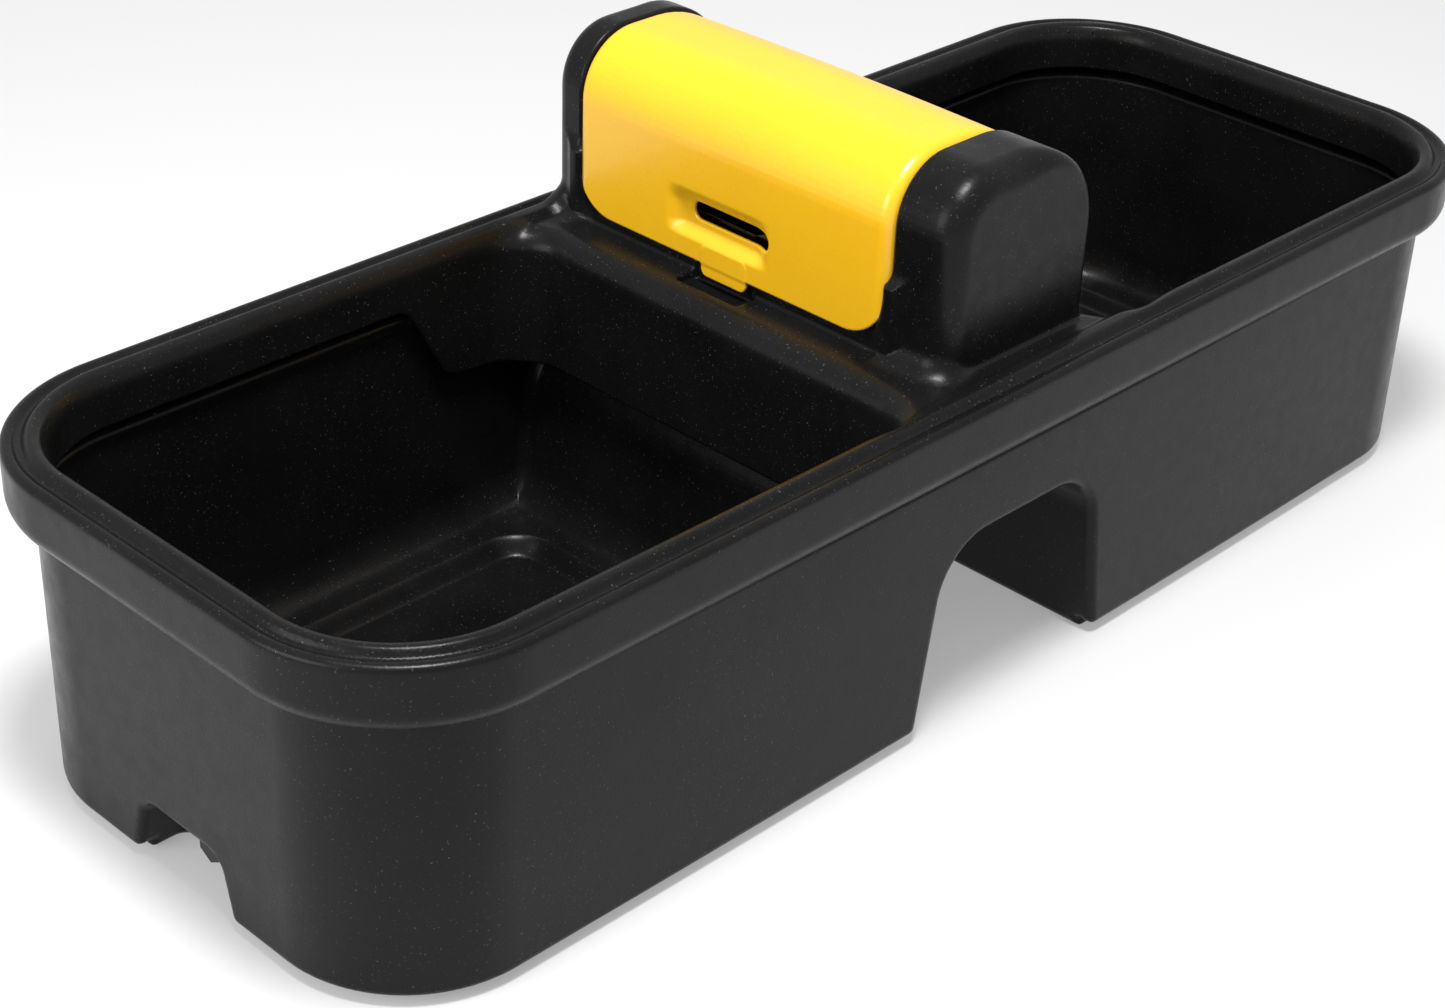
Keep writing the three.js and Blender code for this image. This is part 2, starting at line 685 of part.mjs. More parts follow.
function floatArm() {
  const path = new THREE.CatmullRomCurve3([
    new THREE.Vector3(0, PIVOT.y + 3, PIVOT.z - LEVER_DROP),
    new THREE.Vector3(0, PIVOT.y - 60, PIVOT.z - LEVER_DROP),
    new THREE.Vector3(0, FLOAT.y + 26, nutHigh + 13),
    new THREE.Vector3(0, FLOAT.y + 4, nutHigh + 9),
    new THREE.Vector3(0, FLOAT.y, nutHigh + 3),
    new THREE.Vector3(0, FLOAT.y, nutHigh),
    new THREE.Vector3(0, FLOAT.y, floatTop - 6),
  ], false, "centripetal");
  const section = new THREE.Shape();
  section.absarc(0, 0, ARM_RADIUS, 0, Math.PI * 2);
  const rod = new THREE.ExtrudeGeometry(section, { steps: 24, curveSegments: 8, extrudePath: path });
  return cut(
    join(
      solidOf(rod),
      bar("x", LEVER_EYE, -LEVER_HALF, LEVER_HALF, PIVOT.y, PIVOT.z),
      box(-LEVER_HALF, LEVER_HALF, PIVOT.y - 6, PIVOT.y + 6, PIVOT.z - LEVER_DROP - 5, PIVOT.z),
      box(-3.2, 3.2, PIVOT.y - 3, PIVOT.y + 3, PIVOT.z, VALVE_Z + 3),
    ),
    pivotBar(PIVOT_RADIUS + GAP, -5, 5),
  );
}

function floatBody() {
  const half = FLOAT_HEIGHT / 2;
  const round = FLOAT_ROLL;
  const profile = new THREE.Path();
  profile.moveTo(0, -half);
  profile.lineTo(FLOAT_RADIUS - round, -half);
  profile.absarc(FLOAT_RADIUS - round, round - half, round, -Math.PI / 2, 0);
  profile.absarc(FLOAT_RADIUS - round, half - round, round, 0, Math.PI / 2);
  profile.lineTo(14, half);
  profile.lineTo(12, half + FLOAT_NECK);
  profile.lineTo(0, half + FLOAT_NECK);
  const lathe = new THREE.LatheGeometry(profile.getPoints(3), ROUND);
  lathe.rotateX(Math.PI / 2);
  lathe.translate(0, FLOAT.y, FLOAT.z);
  const socket = bar("z", ARM_RADIUS + GAP, floatTop - 8, floatTop + 20, 0, FLOAT.y);
  return cut(solidOf(lathe), socket);
}

function floatNut() {
  return ringSolid("z", ARM_RADIUS + GAP, FLOAT_NUT_RADIUS, nutLow, nutHigh, 0, FLOAT.y, 6);
}

// ---- Drain plugs ----

function drainPlug(side) {
  const wall = HALF_LENGTH - RECESS_DEPTH;
  const sealOuter = wall + GAP + SEAL;
  const span = (radius, low, high, sides) => {
    const ends = [side * low, side * high].sort((a, b) => a - b);
    return bar("x", radius, ends[0], ends[1], 0, DRAIN_Z, sides);
  };
  return {
    plug: cut(
      join(
        span(DRAIN_RADIUS - 0.4, wall - 14, sealOuter + 4, ROUND),
        span(PLUG_FLANGE, sealOuter + GAP, sealOuter + 7, ROUND),
        span(PLUG_HEAD, sealOuter + 6, sealOuter + 19, 6),
      ),
      span(DRAIN_RADIUS - 4, wall - 15, wall - 4, ROUND),
    ),
    seal: cut(
      span(PLUG_FLANGE - 1.5, wall + GAP, sealOuter, ROUND),
      span(DRAIN_RADIUS + GAP, wall - 1, sealOuter + 1, ROUND),
    ),
  };
}

// ---- Assembly ----

const trough = new THREE.Group();

function addNode(name, solid, material) {
  const mesh = new THREE.Mesh(geometryOf(solid), material);
  mesh.name = name;
  trough.add(mesh);
}

addNode("trough_body", troughBody(), blackPlastic);
addNode("valve_cover", valveCover(), yellowPlastic);
addNode("hinge_pin_near", hingePin(NEAR_TOWER_INNER, 1), stainless);
addNode("hinge_pin_far", hingePin(FAR_TOWER_INNER, -1), stainless);

const sealLow = TUNNEL_TOP - GAP - SEAL;
const sealHigh = roofTop + GAP + SEAL;
const lowerNutTop = sealLow - GAP;
const upperNutLow = sealHigh + GAP;
addNode("inlet_pipe", inletPipe(), brass);
addNode("inlet_seal_lower", inletRing(sealLow, TUNNEL_TOP - GAP), blackRubber);
addNode("inlet_seal_upper", inletRing(roofTop + GAP, sealHigh), blackRubber);
addNode("inlet_locknut_lower", inletRing(lowerNutTop - NUT_HEIGHT, lowerNutTop, 6), brass);
addNode("inlet_locknut_upper", inletRing(upperNutLow, upperNutLow + NUT_HEIGHT, 6), brass);

addNode("valve_body", valveBody(), brass);
addNode("valve_seat", valveSeat(), whiteNylon);
addNode("valve_end_cap", endCap(), brass);
addNode("valve_piston", piston(), brass);
addNode("piston_washer", pistonWasher(), blackRubber);
addNode("pivot_pin", pivotPin(), stainless);
addNode("split_pin", splitPin(), stainless);

addNode("float_arm", floatArm(), brass);
addNode("float_lock_nut", floatNut(), brass);
addNode("float", floatBody(), orangePlastic);

for (const [label, side] of [["left", -1], ["right", 1]]) {
  const { plug, seal } = drainPlug(side);
  addNode(`drain_plug_${label}`, plug, blackPlastic);
  addNode(`drain_seal_${label}`, seal, blackRubber);
}

export default trough;
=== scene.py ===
"""Livestock water trough: the looks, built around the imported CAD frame.

The moulded tub and the cover are each described as a field, the signed distance in millimetres
to the piece's surface, and meshed from it. Corners given with a radius become arcs, and two
surfaces meet in a fillet of a stated radius. The pipe, valve, float, pins and plugs are the CAD's
own meshes, given materials here.
"""

import json
import math

import bpy
import numpy as np
from mathutils import Matrix, Vector


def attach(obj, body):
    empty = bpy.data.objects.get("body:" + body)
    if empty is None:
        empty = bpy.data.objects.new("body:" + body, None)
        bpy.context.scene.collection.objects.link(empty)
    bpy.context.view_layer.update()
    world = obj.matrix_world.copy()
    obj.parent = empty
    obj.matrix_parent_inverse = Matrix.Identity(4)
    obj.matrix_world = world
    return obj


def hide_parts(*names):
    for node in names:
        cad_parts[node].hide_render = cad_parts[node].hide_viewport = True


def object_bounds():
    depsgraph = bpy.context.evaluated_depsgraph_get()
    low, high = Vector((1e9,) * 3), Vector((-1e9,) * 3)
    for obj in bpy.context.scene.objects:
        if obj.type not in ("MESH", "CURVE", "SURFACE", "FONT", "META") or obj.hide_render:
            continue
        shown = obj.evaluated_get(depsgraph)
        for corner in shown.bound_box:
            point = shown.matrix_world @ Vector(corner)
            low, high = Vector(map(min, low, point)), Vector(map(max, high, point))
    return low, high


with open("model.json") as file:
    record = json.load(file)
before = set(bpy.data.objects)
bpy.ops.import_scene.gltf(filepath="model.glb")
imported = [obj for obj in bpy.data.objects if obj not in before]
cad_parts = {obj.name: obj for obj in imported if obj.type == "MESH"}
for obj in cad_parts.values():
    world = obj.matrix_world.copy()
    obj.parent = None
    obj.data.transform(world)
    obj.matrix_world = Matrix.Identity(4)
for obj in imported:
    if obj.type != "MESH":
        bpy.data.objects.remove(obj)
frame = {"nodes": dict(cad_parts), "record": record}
cad_low, cad_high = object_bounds()

MM = 0.001

# ---- Camera ----

CAMERA_PLACE = (-1.5704, -1.3916, 1.3213)
CAMERA_AZIMUTH, CAMERA_ELEVATION, CAMERA_ROLL = -46.613, 30.768, 2.234
CAMERA_LENS, CAMERA_SENSOR = 67.11, 36.0
CAMERA_SHIFT = (-0.00125, -0.00145)


def make_camera():
    azimuth, elevation, roll = (
        math.radians(a) for a in (CAMERA_AZIMUTH, CAMERA_ELEVATION, CAMERA_ROLL)
    )
    back = Vector((
        math.sin(azimuth) * math.cos(elevation),
        -math.cos(azimuth) * math.cos(elevation),
        math.sin(elevation),
    ))
    right = (-back).cross(Vector((0, 0, 1))).normalized()
    up = right.cross(-back)
    turned_right = right * math.cos(roll) + up * math.sin(roll)
    turned_up = up * math.cos(roll) - right * math.sin(roll)
    data = bpy.data.cameras.new("camera")
    data.lens, data.sensor_width, data.sensor_fit = CAMERA_LENS, CAMERA_SENSOR, "HORIZONTAL"
    data.shift_x, data.shift_y = CAMERA_SHIFT
    data.clip_end = 50
    camera = bpy.data.objects.new("camera", data)
    rotation = Matrix((turned_right, turned_up, back)).transposed()
    camera.matrix_world = Matrix.Translation(CAMERA_PLACE) @ rotation.to_4x4()
    bpy.context.collection.objects.link(camera)
    bpy.context.scene.camera = camera


make_camera()

# ---- Fields ----


def arc_outline(corners, steps=10):
    """A closed outline from (u, v, radius) corners, with each corner turned into an arc."""
    points = []
    count = len(corners)
    for i, (u, v, radius) in enumerate(corners):
        here = np.array([u, v], float)
        before = np.array(corners[i - 1][:2], float) - here
        after = np.array(corners[(i + 1) % count][:2], float) - here
        if radius <= 0:
            points.append(here)
            continue
        before /= np.linalg.norm(before)
        after /= np.linalg.norm(after)
        half = math.acos(np.clip(before @ after, -1, 1)) / 2
        middle = (before + after) / np.linalg.norm(before + after)
        centre = here + middle * radius / math.sin(half)
        start = here + before * radius / math.tan(half) - centre
        end = here + after * radius / math.tan(half) - centre
        sweep = math.atan2(start[0] * end[1] - start[1] * end[0], start @ end)
        for step in range(steps + 1):
            angle = sweep * step / steps
            c, s = math.cos(angle), math.sin(angle)
            turned = np.array([c * start[0] - s * start[1], s * start[0] + c * start[1]])
            points.append(centre + turned)
    return np.array(points)


def outline_distance(outline, u, v):
    """Signed distance from each (u, v) to a closed outline, negative inside."""
    u, v = np.broadcast_arrays(u, v)
    nearest = np.full(u.shape, 1e9)
    inside = np.zeros(u.shape, bool)
    for (au, av), (bu, bv) in zip(outline, np.roll(outline, -1, axis=0)):
        du, dv = bu - au, bv - av
        span = du * du + dv * dv
        if span < 1e-12:
            continue
        share = np.clip(((u - au) * du + (v - av) * dv) / span, 0, 1)
        nearest = np.minimum(nearest, np.hypot(u - au - share * du, v - av - share * dv))
        if dv:
            inside ^= ((av > v) != (bv > v)) & (u < du * (v - av) / dv + au)
    return np.where(inside, -nearest, nearest)


class Section:
    """An outline's signed distance, worked out once on a fine table and read by interpolation."""

    STEP = 0.5

    def __init__(self, corners, low, high, steps=10):
        self.low = np.array(low, float)
        self.shape = [int((b - a) / self.STEP) + 1 for a, b in zip(low, high)]
        u, v = (low[k] + np.arange(self.shape[k]) * self.STEP for k in (0, 1))
        outline = arc_outline(corners, steps)
        self.table = outline_distance(outline, u[:, None], v[None, :]).astype(np.float32)

    def __call__(self, u, v):
        u = np.clip((u - self.low[0]) / self.STEP, 0, self.shape[0] - 1.001).astype(np.float32)
        v = np.clip((v - self.low[1]) / self.STEP, 0, self.shape[1] - 1.001).astype(np.float32)
        iu, iv = u.astype(np.int32), v.astype(np.int32)
        fu, fv = u - iu, v - iv
        flat = self.table.ravel()
        at = iu * self.shape[1] + iv
        near = flat[at] * (1 - fv) + flat[at + 1] * fv
        at = at + self.shape[1]
        far = flat[at] * (1 - fv) + flat[at + 1] * fv
        return near * (1 - fu) + far * fu


def both(a, b, radius):
    """Where both fields are solid, with the edge rounded."""
    edge = np.hypot(np.maximum(a + radius, 0), np.maximum(b + radius, 0))
    return np.minimum(-radius, np.maximum(a, b)) + edge


def either(a, b, radius):
    """Where either field is solid, with a fillet in the corner between them."""
    return -both(-a, -b, radius)


def less(a, b, radius):
    """The first field with the second cut away, and the cut's edge rounded."""
    return both(a, -b, radius)


def slab(value, low, high):
    """Signed distance to the layer between two parallel planes."""
    return np.maximum(low - value, value - high)


def plan_distance(x, y, low_x, high_x, half_y, radius):
    """Signed distance to a rounded rectangle seen from above. The radius may vary with x."""
    dx = np.abs(x - (low_x + high_x) / 2) - (high_x - low_x) / 2 + radius
    dy = np.abs(y) - half_y + radius
    outside = np.hypot(np.maximum(dx, 0), np.maximum(dy, 0))
    return outside + np.minimum(np.maximum(dx, dy), 0) - radius


def smooth_step(value, low, high):
    """0 below low, 1 above high, and an S-curve between them."""
    share = np.clip((value - low) / (high - low), 0, 1)
    return share * share * (3 - 2 * share)


# ---- Meshing ----


def sample_grid(field, low, high, step):
    """The field on a regular grid, a few layers at a time to keep memory small."""
    axes = [np.arange(a, b + step, step, dtype=np.float32) for a, b in zip(low, high)]
    x, y = axes[0][:, None, None], axes[1][None, :, None]
    values = np.empty([len(axis) for axis in axes], np.float32)
    layers = 24
    for start in range(0, len(axes[2]), layers):
        z = axes[2][None, None, start:start + layers]
        values[:, :, start:start + layers] = field(x, y, z)
    return values


def surface_net(values, low, step):
    """Vertices and quads of the surface where the sampled field changes sign."""
    inside = values < 0
    count = np.zeros([n - 1 for n in values.shape], np.uint8)
    corners = [(a, b, c) for a in (0, 1) for b in (0, 1) for c in (0, 1)]
    nx, ny, nz = count.shape
    for a, b, c in corners:
        count += inside[a:a + nx, b:b + ny, c:c + nz]
    cells = np.argwhere((count > 0) & (count < 8)).astype(np.int32)
    number = np.full(count.shape, -1, np.int32)
    number[tuple(cells.T)] = np.arange(len(cells), dtype=np.int32)
    total = np.zeros((len(cells), 3), np.float32)
    hits = np.zeros(len(cells), np.float32)
    for corner in corners:
        for axis in range(3):
            if corner[axis]:
                continue
            other = list(corner)
            other[axis] = 1
            a = values[tuple((cells + corner).T)]
            b = values[tuple((cells + other).T)]
            crossing = (a < 0) != (b < 0)
            share = np.where(crossing, a / np.where(crossing, a - b, 1), 0)
            point = np.array(corner, np.float32)[None, :].repeat(len(cells), 0)
            point[:, axis] += share
            total += np.where(crossing[:, None], point, 0)
            hits += crossing
    vertices = np.array(low) + (cells + total / hits[:, None]) * step
    quads = []
    for axis in range(3):
        one, two = (axis + 1) % 3, (axis + 2) % 3
        upper = [slice(None)] * 3
        lower = [slice(None)] * 3
        upper[axis], lower[axis] = slice(1, None), slice(None, -1)
        lower_in, upper_in = inside[tuple(lower)], inside[tuple(upper)]
        edges = np.argwhere(lower_in != upper_in).astype(np.int32)
        limit = np.array(count.shape)
        keep = (edges[:, one] > 0) & (edges[:, two] > 0)
        keep &= (edges[:, one] < limit[one]) & (edges[:, two] < limit[two])
        edges = edges[keep]
        faces = []
        for back_one, back_two in ((1, 1), (0, 1), (0, 0), (1, 0)):
            cell = edges.copy()
            cell[:, one] -= back_one
            cell[:, two] -= back_two
            faces.append(number[tuple(cell.T)])
        faces = np.stack(faces, 1)
        outward = lower_in[tuple(edges.T)]
        faces[~outward] = faces[~outward][:, ::-1]
        quads.append(faces)
    return vertices, np.concatenate(quads)


def slope(field, points, reach):
    """The field's gradient at each point, from samples this far on either side."""
    gradient = np.empty_like(points)
    for axis in range(3):
        offset = np.zeros(3)
        offset[axis] = reach
        ahead, behind = points + offset, points - offset
        gradient[:, axis] = field(*ahead.T) - field(*behind.T)
    return gradient / (2 * reach)


def settle(field, points, step):
    """Moves the vertices onto the field's zero surface."""
    for _ in range(3):
        value = field(*points.T)
        gradient = slope(field, points, 0.4 * step)
        shift = value / np.maximum((gradient ** 2).sum(1), 0.3)
        shift = np.clip(shift, -0.4 * step, 0.4 * step)
        points = points - gradient * shift[:, None]
    return points


def mesh_object(name, vertices, faces):
    mesh = bpy.data.meshes.new(name)
    width = faces.shape[1]
    mesh.vertices.add(len(vertices))
    mesh.vertices.foreach_set("co", (vertices * MM).astype(np.float32).ravel())
    mesh.loops.add(faces.size)
    mesh.loops.foreach_set("vertex_index", faces.astype(np.int32).ravel())
    mesh.polygons.add(len(faces))
    mesh.polygons.foreach_set("loop_start", np.arange(0, faces.size, width, dtype=np.int32))
    mesh.update(calc_edges=True)
    mesh.validate()
    mesh.shade_smooth()
    piece = bpy.data.objects.new(name, mesh)
    bpy.context.collection.objects.link(piece)
    return piece


def apply_modifiers(piece):
    graph = bpy.context.evaluated_depsgraph_get()
    mesh = bpy.data.meshes.new_from_object(piece.evaluated_get(graph))
    piece.modifiers.clear()
    old = piece.data
    piece.data = mesh
    bpy.data.meshes.remove(old)
    mesh.name = piece.name


def thin_out(piece, triangles):
    """Fewer faces where the surface is flat."""
    now = sum(len(p.vertices) - 2 for p in piece.data.polygons)
    if now <= triangles:
        return
    thinning = piece.modifiers.new("thin", "DECIMATE")
    thinning.ratio = triangles / now
    apply_modifiers(piece)


def shade_by_field(piece, field):
    """Gives every vertex the field's own direction, so that thinned faces shade as one surface."""
    mesh = piece.data
    points = np.empty(3 * len(mesh.vertices), np.float32)
    mesh.vertices.foreach_get("co", points)
    normals = slope(field, points.reshape(-1, 3).astype(float) / MM, 0.8)
    length = np.linalg.norm(normals, axis=1, keepdims=True)
    mesh.shade_smooth()
    mesh.normals_split_custom_set_from_vertices(normals / np.maximum(length, 1e-6))


def build(name, field, low, high, step, triangles):
    values = sample_grid(field, low, high, step)
    vertices, quads = surface_net(values, low, step)
    vertices = settle(field, vertices, step)
    piece = mesh_object(name, vertices, quads)
    thin_out(piece, triangles)
    shade_by_field(piece, field)
    return piece


# ---- The moulded tub ----

HALF_LENGTH, HALF_WIDTH = cad_high.x / MM, cad_high.y / MM
RIM_CORNER = 142
WALL = 6
RIM_TOP, DECK_TOP, SHOULDER_TOP = 315, 308, 312
CREASE, CREASE_STEP = 252, 8
BODY_INSET = 21
BOW, BOW_REACH = 4, 560
FOOT_INSET, FOOT_TOP = 36, 9.5

MOUTH_INSET, DIVIDER = 36, 124
MOUTH_CORNER_INNER = 42
DIVIDER_ROLL, RIM_ROLL, ROLL_CHANGE = 22, 13, (130, 200)
CURTAIN_EDGE, LIP_EDGE = 180, 268
HIDDEN_CUT = 165

FLOOR_BAND, FLOOR_PANEL, FLOOR_STEP = 24, 8, 9
FLOOR_EASE, FLOOR_CORNER = 0.75, 26
WELL_INSET, WELL_INNER, WELL_CORNER = 72, 163, 34

TUNNEL_TOP, TUNNEL_FOOT, TUNNEL_CROWN = 178, 119, 93
TUNNEL_FLARE, TUNNEL_CORNER, TUNNEL_EDGE = 8.8, 55, 9
RECESS_DEPTH, RECESS_TOP, RECESS_CORNER = 68, 62, 18
RECESS_HALF_TOP, RECESS_HALF_FOOT = 46, 76
RECESS_BACK_EDGE, RECESS_MOUTH_EDGE = 12, 7
BELOW = -60

NEAR_TOWER, FAR_TOWER = (-212, -150), (213, 247)
NEAR_TOWER_EDGE, FAR_TOWER_EDGE, INNER_TOWER_EDGE = 23, 16, 3
REAR_TOWER_EDGE, TOWER_EDGE_CHANGE = 8, (10, 85)
TOWER_X, TOWER_CREST, TOWER_CROWN = (-74, 105), 477.5, (54, 81)
REAR_FILLET, FRONT_FILLET, FILLET_CHANGE = 5, 22, (30, 75)
TOWER_HOLLOW_FLOOR = 297
BETWEEN_TOWERS = (NEAR_TOWER[1] - 1, FAR_TOWER[0] + 1)

PLINTH_X, PLINTH_TOP, PLINTH_EDGE = (-74, 88), 318, 4
POCKET_X, POCKET_Y, POCKET_FLOOR = (-97, -72), (-4, 68), 300
OPENING_X, OPENING_Y = (-58, 82), (-132, 196)
OPENING_CORNER, OPENING_CUT = 16, 290
HINGE, PIN_HOLE = (100, 332), 4.3
INLET, INLET_HOLE, INLET_CUT = (0, 150), 10.7, (165, 200)
DRAIN_Z, DRAIN_RADIUS, DRAIN_CUT = 32, 16, (-20, 5)

COVER_Y = (NEAR_TOWER[1] + 0.6, FAR_TOWER[0] - 0.6)
COVER_BOTTOM, COVER_CORNER = 320, 44
GUSSET_X, GUSSET_TOP, GUSSET_GAP = (-74, -66), 366, 1.5

skin = Section(
    [
        (400, 0, 0), (FOOT_INSET, 0, 3), (FOOT_INSET, FOOT_TOP, 1), (BODY_INSET, FOOT_TOP, 5),
        (BODY_INSET, CREASE, 0), (0, CREASE, 21), (0, SHOULDER_TOP, 6), (8.5, SHOULDER_TOP, 3),
        (14, DECK_TOP - 1.5, 4), (21, RIM_TOP, 5), (31, RIM_TOP, 5), (41, DECK_TOP, 8),
        (400, DECK_TOP, 0),
    ],
    (-12, -12), (90, 350),
)
below_trim = Section(
    [
        (-10, CURTAIN_EDGE, 0), (DIVIDER + 4, CURTAIN_EDGE, 60), (214, 188, 26),
        (258, LIP_EDGE, 26), (760, LIP_EDGE, 0), (760, -200, 0), (-10, -200, 0),
    ],
    (0, 0), (705, 350),
)
tunnel_shape = Section(
    [
        (-TUNNEL_FOOT - TUNNEL_FLARE, BELOW, 0), (-TUNNEL_CROWN, TUNNEL_TOP, TUNNEL_CORNER),
        (TUNNEL_CROWN, TUNNEL_TOP, TUNNEL_CORNER), (TUNNEL_FOOT + TUNNEL_FLARE, BELOW, 0),
    ],
    (-200, -12), (200, 350), 16,
)
recess_shape = Section(
    [
        (-RECESS_HALF_FOOT, BELOW, 0), (-RECESS_HALF_TOP, RECESS_TOP, RECESS_CORNER),
        (RECESS_HALF_TOP, RECESS_TOP, RECESS_CORNER), (RECESS_HALF_FOOT, BELOW, 0),
    ],
    (-120, -12), (120, 120),
)


def crown_section(span, crest, crowns):
    """The side view of a tower or the cover, open below, with a front and a rear crown radius."""
    (front, rear), (front_crown, rear_crown) = span, crowns
    corners = [(rear, 200, 0), (rear, crest, rear_crown), (front, crest, front_crown), (front, 200, 0)]
    return Section(corners, (-120, 280), (150, 500), 16)


tower_shape = crown_section(TOWER_X, TOWER_CREST, TOWER_CROWN)


def mouth_distance(x, y):
    """Signed distance from above to the nearer basin's mouth, negative inside."""
    side = np.abs(x)
    high_x, half_y = HALF_LENGTH - MOUTH_INSET, HALF_WIDTH - MOUTH_INSET
    corner = np.where(side > (high_x + DIVIDER) / 2, RIM_CORNER - MOUTH_INSET, MOUTH_CORNER_INNER)
    return plan_distance(side, y, DIVIDER, high_x, half_y, corner)


def cover_front_outline(y, z):
    """Signed distance in front view to the cover's outline, whose lower corners are round."""
    middle, half = sum(COVER_Y) / 2, (COVER_Y[1] - COVER_Y[0]) / 2
    return plan_distance(z - 520, y - middle, COVER_BOTTOM - 520, 400, half, COVER_CORNER)


def tower_block(x, y, z, outer, inner, edge):
    """One end post. The edge of its outer end is softer at the front than at the rear."""
    outward = np.sign(outer - inner)
    profile = tower_shape(x, z)
    end = outward * (y - outer)
    edge_here = edge - (edge - REAR_TOWER_EDGE) * smooth_step(x, *TOWER_EDGE_CHANGE)
    block = both(profile, end, edge_here)
    return both(block, outward * (inner - y), INNER_TOWER_EDGE)


def tower_blocks(x, y, z):
    near = tower_block(x, y, z, NEAR_TOWER[0], NEAR_TOWER[1], NEAR_TOWER_EDGE)
    far = tower_block(x, y, z, FAR_TOWER[1], FAR_TOWER[0], FAR_TOWER_EDGE)
    return np.minimum(near, far)


def tab_pocket(x, y, z):
    """The shallow pocket in the deck that the cover's tab stands in."""
    return both(both(slab(x, *POCKET_X), slab(y, *POCKET_Y), 5), POCKET_FLOOR - z, 3)


def valve_house(x, y, z, solid, towers):
    """Adds the plinth round the compartment, the gussets at the cover's corners and the towers."""
    plinth = both(slab(x, *PLINTH_X), slab(z, DECK_TOP - 8, PLINTH_TOP), PLINTH_EDGE)
    plinth = np.maximum(plinth, slab(y, *BETWEEN_TOWERS))
    solid = either(solid, plinth, 4)
    gusset = both(slab(x, *GUSSET_X), GUSSET_GAP - cover_front_outline(y, z), 1)
    gusset = np.maximum(gusset, slab(z, DECK_TOP - 8, GUSSET_TOP))
    gusset = np.maximum(gusset, slab(y, *BETWEEN_TOWERS))
    solid = either(solid, gusset, 2)
    fillet = REAR_FILLET + (FRONT_FILLET - REAR_FILLET) * smooth_step(-x, *FILLET_CHANGE)
    return either(solid, towers, fillet)


def basin_floor(x, y):
    """Height of the basin's floor: a raised band round a lower panel."""
    well = plan_distance(
        np.abs(x), y, WELL_INNER, HALF_LENGTH - WELL_INSET, HALF_WIDTH - WELL_INSET, WELL_CORNER
    )
    return FLOOR_BAND - (FLOOR_BAND - FLOOR_PANEL) * smooth_step(-well, -FLOOR_STEP, FLOOR_STEP)


def body_holes(x, y, z):
    """The basins' mouths, the way down into the compartment, and the small round holes."""
    mouths = np.maximum(mouth_distance(x, y), HIDDEN_CUT - z)
    half_opening = (OPENING_Y[1] - OPENING_Y[0]) / 2
    opening = plan_distance(x, y - sum(OPENING_Y) / 2, *OPENING_X, half_opening, OPENING_CORNER)
    opening = np.maximum(opening, OPENING_CUT - z)
    back = HALF_LENGTH - RECESS_DEPTH
    drain = np.hypot(y, z - DRAIN_Z) - DRAIN_RADIUS
    drain = np.maximum(drain, slab(np.abs(x), back + DRAIN_CUT[0], back + DRAIN_CUT[1]))
    inlet = np.hypot(x - INLET[0], y - INLET[1]) - INLET_HOLE
    inlet = np.maximum(inlet, slab(z, *INLET_CUT))
    pins = np.hypot(x - HINGE[0], z - HINGE[1]) - PIN_HOLE
    pins = np.maximum(pins, slab(y, NEAR_TOWER[1] - 10, FAR_TOWER[0] + 10))
    holes = np.minimum(np.minimum(mouths, opening), np.minimum(drain, inlet))
    return np.minimum(holes, pins)


def body_field(x, y, z):
    rim = -plan_distance(x, y, -HALF_LENGTH, HALF_LENGTH, HALF_WIDTH, RIM_CORNER)
    bow = BOW * np.maximum(0, 1 - (x / BOW_REACH) ** 2)
    inset = rim + bow * smooth_step(-z, -CREASE, CREASE_STEP - CREASE)
    outer = skin(inset, z)
    roll = DIVIDER_ROLL - (DIVIDER_ROLL - RIM_ROLL) * smooth_step(np.abs(x), *ROLL_CHANGE)
    edge = both(outer, -mouth_distance(x, y), roll)
    towers = tower_blocks(x, y, z)
    solid = np.maximum(outer, np.minimum(edge, z - HIDDEN_CUT))
    solid = valve_house(x, y, z, solid, towers)
    pocket = tab_pocket(x, y, z)
    solid = less(solid, pocket, 2.5)
    tunnel = tunnel_shape(x, z)
    solid = less(solid, tunnel, TUNNEL_EDGE)
    back = HALF_LENGTH - RECESS_DEPTH
    recess = both(recess_shape(y, z), back - np.abs(x), RECESS_BACK_EDGE)
    solid = less(solid, recess, RECESS_MOUTH_EDGE)

    inner_wall = WALL + BODY_INSET - inset - 1.5 * np.maximum(0, z - CREASE + 6)
    cavity = both(inner_wall, WALL - tunnel, 12)
    cavity = both(cavity, FLOOR_EASE * (basin_floor(x, y) - z), FLOOR_CORNER)
    cavity = np.maximum(cavity, outer + WALL)
    cavity = np.maximum(cavity, np.minimum(edge + WALL, below_trim(np.abs(x), z)))
    cavity = both(cavity, WALL - recess, 8)
    cavity = both(cavity, WALL - pocket, 3)
    cavity = np.minimum(cavity, np.maximum(towers + WALL, TOWER_HOLLOW_FLOOR - z))
    solid = both(solid, -cavity, 2.2)
    return both(solid, -body_holes(x, y, z), 1.2)


GRID_TOP = 486
body = build(
    "trough_moulding", body_field,
    (-HALF_LENGTH - 7, -HALF_WIDTH - 7, -7), (HALF_LENGTH + 7, HALF_WIDTH + 7, GRID_TOP),
    3.0, 190000,
)

# ---- Cover ----

COVER_X, COVER_CREST, COVER_CROWN = (-79, 111), 479, (59, 102)
COVER_WALL, COVER_EDGE = 4, 12
COVER_DOME, DOME_CHANGE = 2.5, (400, 480)
COVER_REAR_BOTTOM = 325
SLOT_Y, SLOT_Z = (-20, 73), (355, 372)
DISH_Y, DISH_DEPTH = (-20, 100), 7
DISH_SIDE, DISH_FOOT, DISH_HEAD = (-2, 20), (337, 350), (366, 384)
TAB_Y, TAB_BOTTOM = (4, 57), 309
LUG_RADIUS, LUG_INSET, LUG_WIDTH = 9, 2, 7

